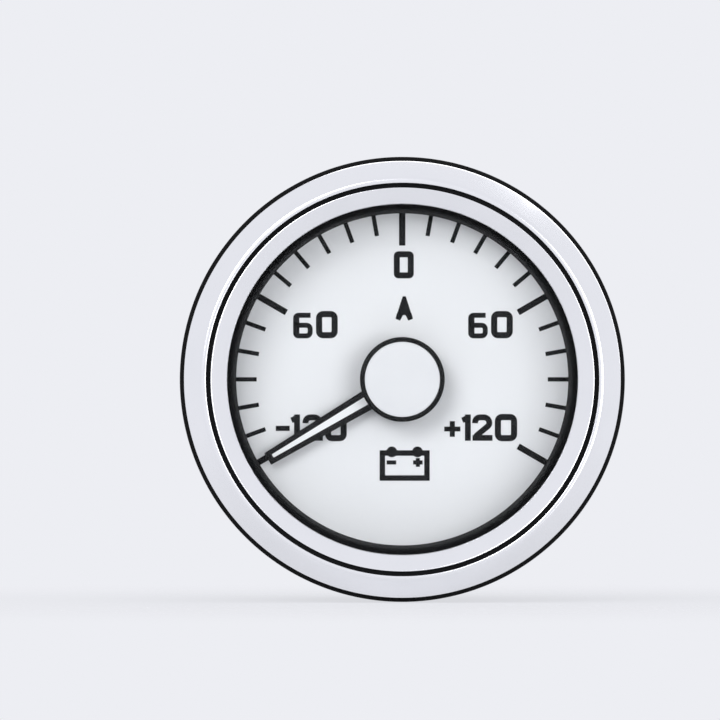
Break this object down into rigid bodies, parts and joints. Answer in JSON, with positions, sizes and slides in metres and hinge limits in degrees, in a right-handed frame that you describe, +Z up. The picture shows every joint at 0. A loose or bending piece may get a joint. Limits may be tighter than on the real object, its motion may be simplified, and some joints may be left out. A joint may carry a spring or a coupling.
{
  "type": "analog panel meter",
  "caption": "Round centre-zero panel ammeter with a 240 degree dial, moving pointer, crossed-coil movement inside, studs and tabs behind and a strap clamp for the panel.",
  "frame": {"origin": "on the meter's axis in the plane of the panel's front face, where the rubber seal bears", "axes": "+Y along the case, from the dial to the terminals; the dial faces -Y; +Z up the dial, +X to its right"},
  "size_m": [0.0606, 0.0705, 0.0606],
  "materials": {
    "bezel_metal": "satin chromium plate on turned brass",
    "seal_rubber": "moulded black rubber",
    "glass": "clear float glass",
    "black_plastic": "moulded, fine matt grain",
    "dial_paint": "matt white paint on aluminium",
    "print_black": "screen-printed black ink",
    "pointer_white": "matt white paint",
    "brass": "turned brass",
    "nickel_brass": "nickel-plated brass",
    "tinned_brass": "bright tin plate",
    "zinc_steel": "bright zinc plate",
    "bright_steel": "ground steel",
    "magnet": "sintered ferrite",
    "nylon": "natural moulded nylon",
    "copper_wire": "enamelled copper wire, wound",
    "white_plastic": "moulded white polycarbonate",
    "board": "green solder mask on glass-epoxy",
    "resistor": "cement-coated",
    "capacitor": "sleeved aluminium can",
    "holder_plastic": "moulded nylon"
  },
  "bodies": {
    "root": {"bezel": "bezel_metal", "panel_seal": "seal_rubber", "lens_gasket": "seal_rubber", "lens": "glass", "dial_ring": "black_plastic", "case": "black_plastic", "driver_chip": "black_plastic", "dial": "dial_paint", "scale_marks": "print_black", "terminal_studs": "nickel_brass", "blade_terminals": "tinned_brass", "bobbin_pins": "tinned_brass", "clamp_studs": "zinc_steel", "terminal_washers": "zinc_steel", "terminal_nuts": "zinc_steel", "movement_shield": "zinc_steel", "return_magnet": "magnet", "bobbin_front": "nylon", "bobbin_rear": "nylon", "coil_inner": "copper_wire", "coil_outer": "copper_wire", "light_carrier": "white_plastic", "circuit_board": "board", "resistors": "resistor", "capacitor": "capacitor"},
    "pointer_unit": {"pointer": "black_plastic", "pointer_inlay": "pointer_white", "hub_cap": "black_plastic", "cap_disc": "dial_paint", "pointer_hub": "brass", "spindle": "bright_steel", "rotor_magnet": "magnet"},
    "lamp_unit": {"lamp_holder": "holder_plastic", "lamp_bulb": "glass"},
    "clamp": {"clamp_bracket": "zinc_steel", "clamp_washers": "zinc_steel"},
    "nut_left": {"thumb_nut_left": "nickel_brass"},
    "nut_right": {"thumb_nut_right": "nickel_brass"}
  },
  "joints": [
    {"name": "pointer_swing", "type": "hinge", "parent": "root", "child": "pointer_unit", "pos_m": [0, 0, 0], "axis": [0, 1, 0], "range_deg": [0, 240], "stiffness_Nm_per_rad": 0.000005, "springref_deg": -28.65},
    {"name": "lamp_holder_turn", "type": "hinge", "parent": "root", "child": "lamp_unit", "pos_m": [0, 0.042, -0.015], "axis": [0, 1, 0], "range_deg": [0, 40]},
    {"name": "clamp_slide", "type": "slide", "parent": "root", "child": "clamp", "axis": [0, 1, 0], "range_m": [-0.0065, 0.004]},
    {"name": "thumb_nut_left_turn", "type": "hinge", "parent": "clamp", "child": "nut_left", "pos_m": [-0.017, 0.0548, 0], "axis": [0, 1, 0], "range_deg": [-3343, 2058]},
    {"name": "thumb_nut_right_turn", "type": "hinge", "parent": "clamp", "child": "nut_right", "pos_m": [0.017, 0.0548, 0], "axis": [0, 1, 0], "range_deg": [-3343, 2058]}
  ],
  "couplings": [
    {"joint": "thumb_nut_left_turn", "follows": "clamp_slide", "rad_per_m": 8976},
    {"joint": "thumb_nut_right_turn", "follows": "clamp_slide", "rad_per_m": 8976}
  ]
}
